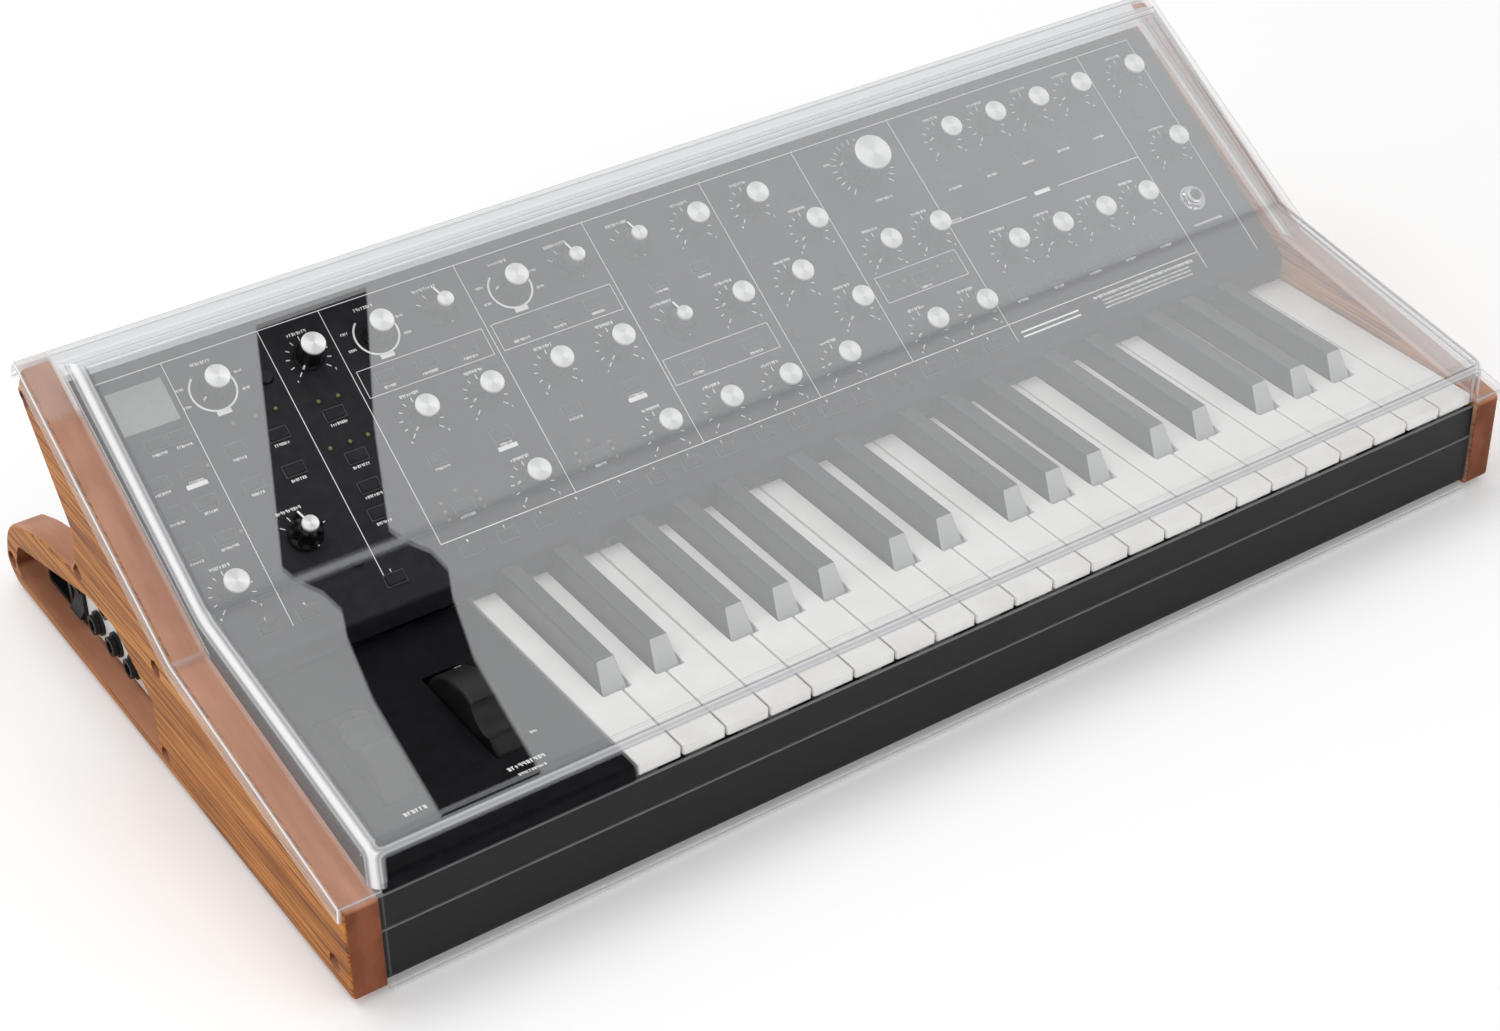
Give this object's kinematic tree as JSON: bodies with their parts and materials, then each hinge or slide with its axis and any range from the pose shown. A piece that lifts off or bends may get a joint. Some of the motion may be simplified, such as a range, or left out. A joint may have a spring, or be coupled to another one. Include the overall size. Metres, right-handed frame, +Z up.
{
  "type": "desktop synthesizer",
  "caption": "Compact analogue synthesizer with a piano keyboard, a sloping knob panel, two playing wheels, wooden end cheeks and a clear lift-off dust cover.",
  "frame": {"origin": "on the table under the middle of the whole object's bounding box", "axes": "+X to the player's right (long way), +Y away from the player, +Z up; the keys face -Y"},
  "size_m": [0.686, 0.376, 0.1779],
  "materials": {
    "oak": "oiled wood, straight grain",
    "screw_steel": "plated pan head",
    "black_steel": "fine-textured black powder coat",
    "panel_paint": "satin charcoal with white print",
    "foot_rubber": "moulded rubber",
    "knob_plastic": "black skirt, spun aluminium cap",
    "button_plastic": "dark rubbery caps",
    "display_glass": "pale grey-green window",
    "board_green": "solder-masked laminate",
    "supply_case": "pressed sheet",
    "plate_paint": "white paint",
    "socket_plastic": "black nylon",
    "switch_plastic": "black rocker",
    "deck_plastic": "satin black",
    "wheel_rubber": "soft-touch black",
    "keybed_steel": "galvanised sheet and bar",
    "white_key_plastic": "satin white",
    "black_key_plastic": "satin black",
    "clear_acrylic": "clear moulded sheet, hazed by dust"
  },
  "bodies": {
    "chassis": {"left_cheek": "oak", "right_cheek": "oak", "cheek_screws": "screw_steel", "chassis_pan": "black_steel", "front_rail": "black_steel", "rear_panel": "black_steel", "rubber_feet": "foot_rubber", "control_panel": "panel_paint", "panel_knobs": "knob_plastic", "panel_buttons": "button_plastic", "display": "display_glass", "circuit_boards": "board_green", "power_supply": "supply_case", "connector_plate": "plate_paint", "io_sockets": "socket_plastic", "wheel_deck": "deck_plastic", "keybed_frame": "keybed_steel"},
    "cutoff_knob": {"cutoff_knob": "knob_plastic"},
    "pitch_wheel": {"pitch_wheel": "wheel_rubber"},
    "mod_wheel": {"mod_wheel": "wheel_rubber"},
    "tap_button": {"tap_button": "button_plastic"},
    "power_switch": {"power_switch": "switch_plastic"},
    "dust_cover": {"dust_cover": "clear_acrylic"},
    "white_key_01": {"white_key_01": "white_key_plastic"},
    "white_key_02": {"white_key_02": "white_key_plastic"},
    "white_key_03": {"white_key_03": "white_key_plastic"},
    "white_key_04": {"white_key_04": "white_key_plastic"},
    "white_key_05": {"white_key_05": "white_key_plastic"},
    "white_key_06": {"white_key_06": "white_key_plastic"},
    "white_key_07": {"white_key_07": "white_key_plastic"},
    "white_key_08": {"white_key_08": "white_key_plastic"},
    "white_key_09": {"white_key_09": "white_key_plastic"},
    "white_key_10": {"white_key_10": "white_key_plastic"},
    "white_key_11": {"white_key_11": "white_key_plastic"},
    "white_key_12": {"white_key_12": "white_key_plastic"},
    "white_key_13": {"white_key_13": "white_key_plastic"},
    "white_key_14": {"white_key_14": "white_key_plastic"},
    "white_key_15": {"white_key_15": "white_key_plastic"},
    "white_key_16": {"white_key_16": "white_key_plastic"},
    "white_key_17": {"white_key_17": "white_key_plastic"},
    "white_key_18": {"white_key_18": "white_key_plastic"},
    "white_key_19": {"white_key_19": "white_key_plastic"},
    "white_key_20": {"white_key_20": "white_key_plastic"},
    "white_key_21": {"white_key_21": "white_key_plastic"},
    "white_key_22": {"white_key_22": "white_key_plastic"},
    "black_key_01": {"black_key_01": "black_key_plastic"},
    "black_key_02": {"black_key_02": "black_key_plastic"},
    "black_key_03": {"black_key_03": "black_key_plastic"},
    "black_key_04": {"black_key_04": "black_key_plastic"},
    "black_key_05": {"black_key_05": "black_key_plastic"},
    "black_key_06": {"black_key_06": "black_key_plastic"},
    "black_key_07": {"black_key_07": "black_key_plastic"},
    "black_key_08": {"black_key_08": "black_key_plastic"},
    "black_key_09": {"black_key_09": "black_key_plastic"},
    "black_key_10": {"black_key_10": "black_key_plastic"},
    "black_key_11": {"black_key_11": "black_key_plastic"},
    "black_key_12": {"black_key_12": "black_key_plastic"},
    "black_key_13": {"black_key_13": "black_key_plastic"},
    "black_key_14": {"black_key_14": "black_key_plastic"},
    "black_key_15": {"black_key_15": "black_key_plastic"}
  },
  "joints": [
    {"name": "cutoff_turn", "type": "hinge", "parent": "chassis", "child": "cutoff_knob", "pos_m": [0.1135, 0.07235, 0.14611], "axis": [0, -0.5592, 0.829], "range_deg": [-150, 150]},
    {"name": "pitch_turn", "type": "hinge", "parent": "chassis", "child": "pitch_wheel", "pos_m": [-0.2875, -0.11004, 0.038], "axis": [-1, 0, 0], "range_deg": [-30, 30], "stiffness_Nm_per_rad": 0.3},
    {"name": "modulation_turn", "type": "hinge", "parent": "chassis", "child": "mod_wheel", "pos_m": [-0.2325, -0.11004, 0.038], "axis": [-1, 0, 0], "range_deg": [0, 60]},
    {"name": "tap_press", "type": "slide", "parent": "chassis", "child": "tap_button", "axis": [0, 0.5592, -0.829], "range_m": [0, 0.001], "stiffness_N_per_m": 500, "springref_m": -0.001},
    {"name": "power_rock", "type": "hinge", "parent": "chassis", "child": "power_switch", "pos_m": [-0.325, 0.12096, 0.0225], "axis": [0, 1, 0], "range_deg": [-10, 0]},
    {"name": "cover_lift", "type": "slide", "parent": "chassis", "child": "dust_cover", "axis": [0, 0, 1], "range_m": [0, 0.2]},
    {"name": "white_key_01_press", "type": "hinge", "parent": "chassis", "child": "white_key_01", "pos_m": [0, 0.00696, 0.05], "axis": [1, 0, 0], "range_deg": [0, 3], "stiffness_Nm_per_rad": 0.5, "springref_deg": -14.32},
    {"name": "white_key_02_press", "type": "hinge", "parent": "chassis", "child": "white_key_02", "pos_m": [0, 0.00696, 0.05], "axis": [1, 0, 0], "range_deg": [0, 3], "stiffness_Nm_per_rad": 0.5, "springref_deg": -14.32},
    {"name": "white_key_03_press", "type": "hinge", "parent": "chassis", "child": "white_key_03", "pos_m": [0, 0.00696, 0.05], "axis": [1, 0, 0], "range_deg": [0, 3], "stiffness_Nm_per_rad": 0.5, "springref_deg": -14.32},
    {"name": "white_key_04_press", "type": "hinge", "parent": "chassis", "child": "white_key_04", "pos_m": [0, 0.00696, 0.05], "axis": [1, 0, 0], "range_deg": [0, 3], "stiffness_Nm_per_rad": 0.5, "springref_deg": -14.32},
    {"name": "white_key_05_press", "type": "hinge", "parent": "chassis", "child": "white_key_05", "pos_m": [0, 0.00696, 0.05], "axis": [1, 0, 0], "range_deg": [0, 3], "stiffness_Nm_per_rad": 0.5, "springref_deg": -14.32},
    {"name": "white_key_06_press", "type": "hinge", "parent": "chassis", "child": "white_key_06", "pos_m": [0, 0.00696, 0.05], "axis": [1, 0, 0], "range_deg": [0, 3], "stiffness_Nm_per_rad": 0.5, "springref_deg": -14.32},
    {"name": "white_key_07_press", "type": "hinge", "parent": "chassis", "child": "white_key_07", "pos_m": [0, 0.00696, 0.05], "axis": [1, 0, 0], "range_deg": [0, 3], "stiffness_Nm_per_rad": 0.5, "springref_deg": -14.32},
    {"name": "white_key_08_press", "type": "hinge", "parent": "chassis", "child": "white_key_08", "pos_m": [0, 0.00696, 0.05], "axis": [1, 0, 0], "range_deg": [0, 3], "stiffness_Nm_per_rad": 0.5, "springref_deg": -14.32},
    {"name": "white_key_09_press", "type": "hinge", "parent": "chassis", "child": "white_key_09", "pos_m": [0, 0.00696, 0.05], "axis": [1, 0, 0], "range_deg": [0, 3], "stiffness_Nm_per_rad": 0.5, "springref_deg": -14.32},
    {"name": "white_key_10_press", "type": "hinge", "parent": "chassis", "child": "white_key_10", "pos_m": [0, 0.00696, 0.05], "axis": [1, 0, 0], "range_deg": [0, 3], "stiffness_Nm_per_rad": 0.5, "springref_deg": -14.32},
    {"name": "white_key_11_press", "type": "hinge", "parent": "chassis", "child": "white_key_11", "pos_m": [0, 0.00696, 0.05], "axis": [1, 0, 0], "range_deg": [0, 3], "stiffness_Nm_per_rad": 0.5, "springref_deg": -14.32},
    {"name": "white_key_12_press", "type": "hinge", "parent": "chassis", "child": "white_key_12", "pos_m": [0, 0.00696, 0.05], "axis": [1, 0, 0], "range_deg": [0, 3], "stiffness_Nm_per_rad": 0.5, "springref_deg": -14.32},
    {"name": "white_key_13_press", "type": "hinge", "parent": "chassis", "child": "white_key_13", "pos_m": [0, 0.00696, 0.05], "axis": [1, 0, 0], "range_deg": [0, 3], "stiffness_Nm_per_rad": 0.5, "springref_deg": -14.32},
    {"name": "white_key_14_press", "type": "hinge", "parent": "chassis", "child": "white_key_14", "pos_m": [0, 0.00696, 0.05], "axis": [1, 0, 0], "range_deg": [0, 3], "stiffness_Nm_per_rad": 0.5, "springref_deg": -14.32},
    {"name": "white_key_15_press", "type": "hinge", "parent": "chassis", "child": "white_key_15", "pos_m": [0, 0.00696, 0.05], "axis": [1, 0, 0], "range_deg": [0, 3], "stiffness_Nm_per_rad": 0.5, "springref_deg": -14.32},
    {"name": "white_key_16_press", "type": "hinge", "parent": "chassis", "child": "white_key_16", "pos_m": [0, 0.00696, 0.05], "axis": [1, 0, 0], "range_deg": [0, 3], "stiffness_Nm_per_rad": 0.5, "springref_deg": -14.32},
    {"name": "white_key_17_press", "type": "hinge", "parent": "chassis", "child": "white_key_17", "pos_m": [0, 0.00696, 0.05], "axis": [1, 0, 0], "range_deg": [0, 3], "stiffness_Nm_per_rad": 0.5, "springref_deg": -14.32},
    {"name": "white_key_18_press", "type": "hinge", "parent": "chassis", "child": "white_key_18", "pos_m": [0, 0.00696, 0.05], "axis": [1, 0, 0], "range_deg": [0, 3], "stiffness_Nm_per_rad": 0.5, "springref_deg": -14.32},
    {"name": "white_key_19_press", "type": "hinge", "parent": "chassis", "child": "white_key_19", "pos_m": [0, 0.00696, 0.05], "axis": [1, 0, 0], "range_deg": [0, 3], "stiffness_Nm_per_rad": 0.5, "springref_deg": -14.32},
    {"name": "white_key_20_press", "type": "hinge", "parent": "chassis", "child": "white_key_20", "pos_m": [0, 0.00696, 0.05], "axis": [1, 0, 0], "range_deg": [0, 3], "stiffness_Nm_per_rad": 0.5, "springref_deg": -14.32},
    {"name": "white_key_21_press", "type": "hinge", "parent": "chassis", "child": "white_key_21", "pos_m": [0, 0.00696, 0.05], "axis": [1, 0, 0], "range_deg": [0, 3], "stiffness_Nm_per_rad": 0.5, "springref_deg": -14.32},
    {"name": "white_key_22_press", "type": "hinge", "parent": "chassis", "child": "white_key_22", "pos_m": [0, 0.00696, 0.05], "axis": [1, 0, 0], "range_deg": [0, 3], "stiffness_Nm_per_rad": 0.5, "springref_deg": -14.32},
    {"name": "black_key_01_press", "type": "hinge", "parent": "chassis", "child": "black_key_01", "pos_m": [0, 0.00696, 0.05], "axis": [1, 0, 0], "range_deg": [0, 3], "stiffness_Nm_per_rad": 0.5, "springref_deg": -11.46},
    {"name": "black_key_02_press", "type": "hinge", "parent": "chassis", "child": "black_key_02", "pos_m": [0, 0.00696, 0.05], "axis": [1, 0, 0], "range_deg": [0, 3], "stiffness_Nm_per_rad": 0.5, "springref_deg": -11.46},
    {"name": "black_key_03_press", "type": "hinge", "parent": "chassis", "child": "black_key_03", "pos_m": [0, 0.00696, 0.05], "axis": [1, 0, 0], "range_deg": [0, 3], "stiffness_Nm_per_rad": 0.5, "springref_deg": -11.46},
    {"name": "black_key_04_press", "type": "hinge", "parent": "chassis", "child": "black_key_04", "pos_m": [0, 0.00696, 0.05], "axis": [1, 0, 0], "range_deg": [0, 3], "stiffness_Nm_per_rad": 0.5, "springref_deg": -11.46},
    {"name": "black_key_05_press", "type": "hinge", "parent": "chassis", "child": "black_key_05", "pos_m": [0, 0.00696, 0.05], "axis": [1, 0, 0], "range_deg": [0, 3], "stiffness_Nm_per_rad": 0.5, "springref_deg": -11.46},
    {"name": "black_key_06_press", "type": "hinge", "parent": "chassis", "child": "black_key_06", "pos_m": [0, 0.00696, 0.05], "axis": [1, 0, 0], "range_deg": [0, 3], "stiffness_Nm_per_rad": 0.5, "springref_deg": -11.46},
    {"name": "black_key_07_press", "type": "hinge", "parent": "chassis", "child": "black_key_07", "pos_m": [0, 0.00696, 0.05], "axis": [1, 0, 0], "range_deg": [0, 3], "stiffness_Nm_per_rad": 0.5, "springref_deg": -11.46},
    {"name": "black_key_08_press", "type": "hinge", "parent": "chassis", "child": "black_key_08", "pos_m": [0, 0.00696, 0.05], "axis": [1, 0, 0], "range_deg": [0, 3], "stiffness_Nm_per_rad": 0.5, "springref_deg": -11.46},
    {"name": "black_key_09_press", "type": "hinge", "parent": "chassis", "child": "black_key_09", "pos_m": [0, 0.00696, 0.05], "axis": [1, 0, 0], "range_deg": [0, 3], "stiffness_Nm_per_rad": 0.5, "springref_deg": -11.46},
    {"name": "black_key_10_press", "type": "hinge", "parent": "chassis", "child": "black_key_10", "pos_m": [0, 0.00696, 0.05], "axis": [1, 0, 0], "range_deg": [0, 3], "stiffness_Nm_per_rad": 0.5, "springref_deg": -11.46},
    {"name": "black_key_11_press", "type": "hinge", "parent": "chassis", "child": "black_key_11", "pos_m": [0, 0.00696, 0.05], "axis": [1, 0, 0], "range_deg": [0, 3], "stiffness_Nm_per_rad": 0.5, "springref_deg": -11.46},
    {"name": "black_key_12_press", "type": "hinge", "parent": "chassis", "child": "black_key_12", "pos_m": [0, 0.00696, 0.05], "axis": [1, 0, 0], "range_deg": [0, 3], "stiffness_Nm_per_rad": 0.5, "springref_deg": -11.46},
    {"name": "black_key_13_press", "type": "hinge", "parent": "chassis", "child": "black_key_13", "pos_m": [0, 0.00696, 0.05], "axis": [1, 0, 0], "range_deg": [0, 3], "stiffness_Nm_per_rad": 0.5, "springref_deg": -11.46},
    {"name": "black_key_14_press", "type": "hinge", "parent": "chassis", "child": "black_key_14", "pos_m": [0, 0.00696, 0.05], "axis": [1, 0, 0], "range_deg": [0, 3], "stiffness_Nm_per_rad": 0.5, "springref_deg": -11.46},
    {"name": "black_key_15_press", "type": "hinge", "parent": "chassis", "child": "black_key_15", "pos_m": [0, 0.00696, 0.05], "axis": [1, 0, 0], "range_deg": [0, 3], "stiffness_Nm_per_rad": 0.5, "springref_deg": -11.46}
  ]
}
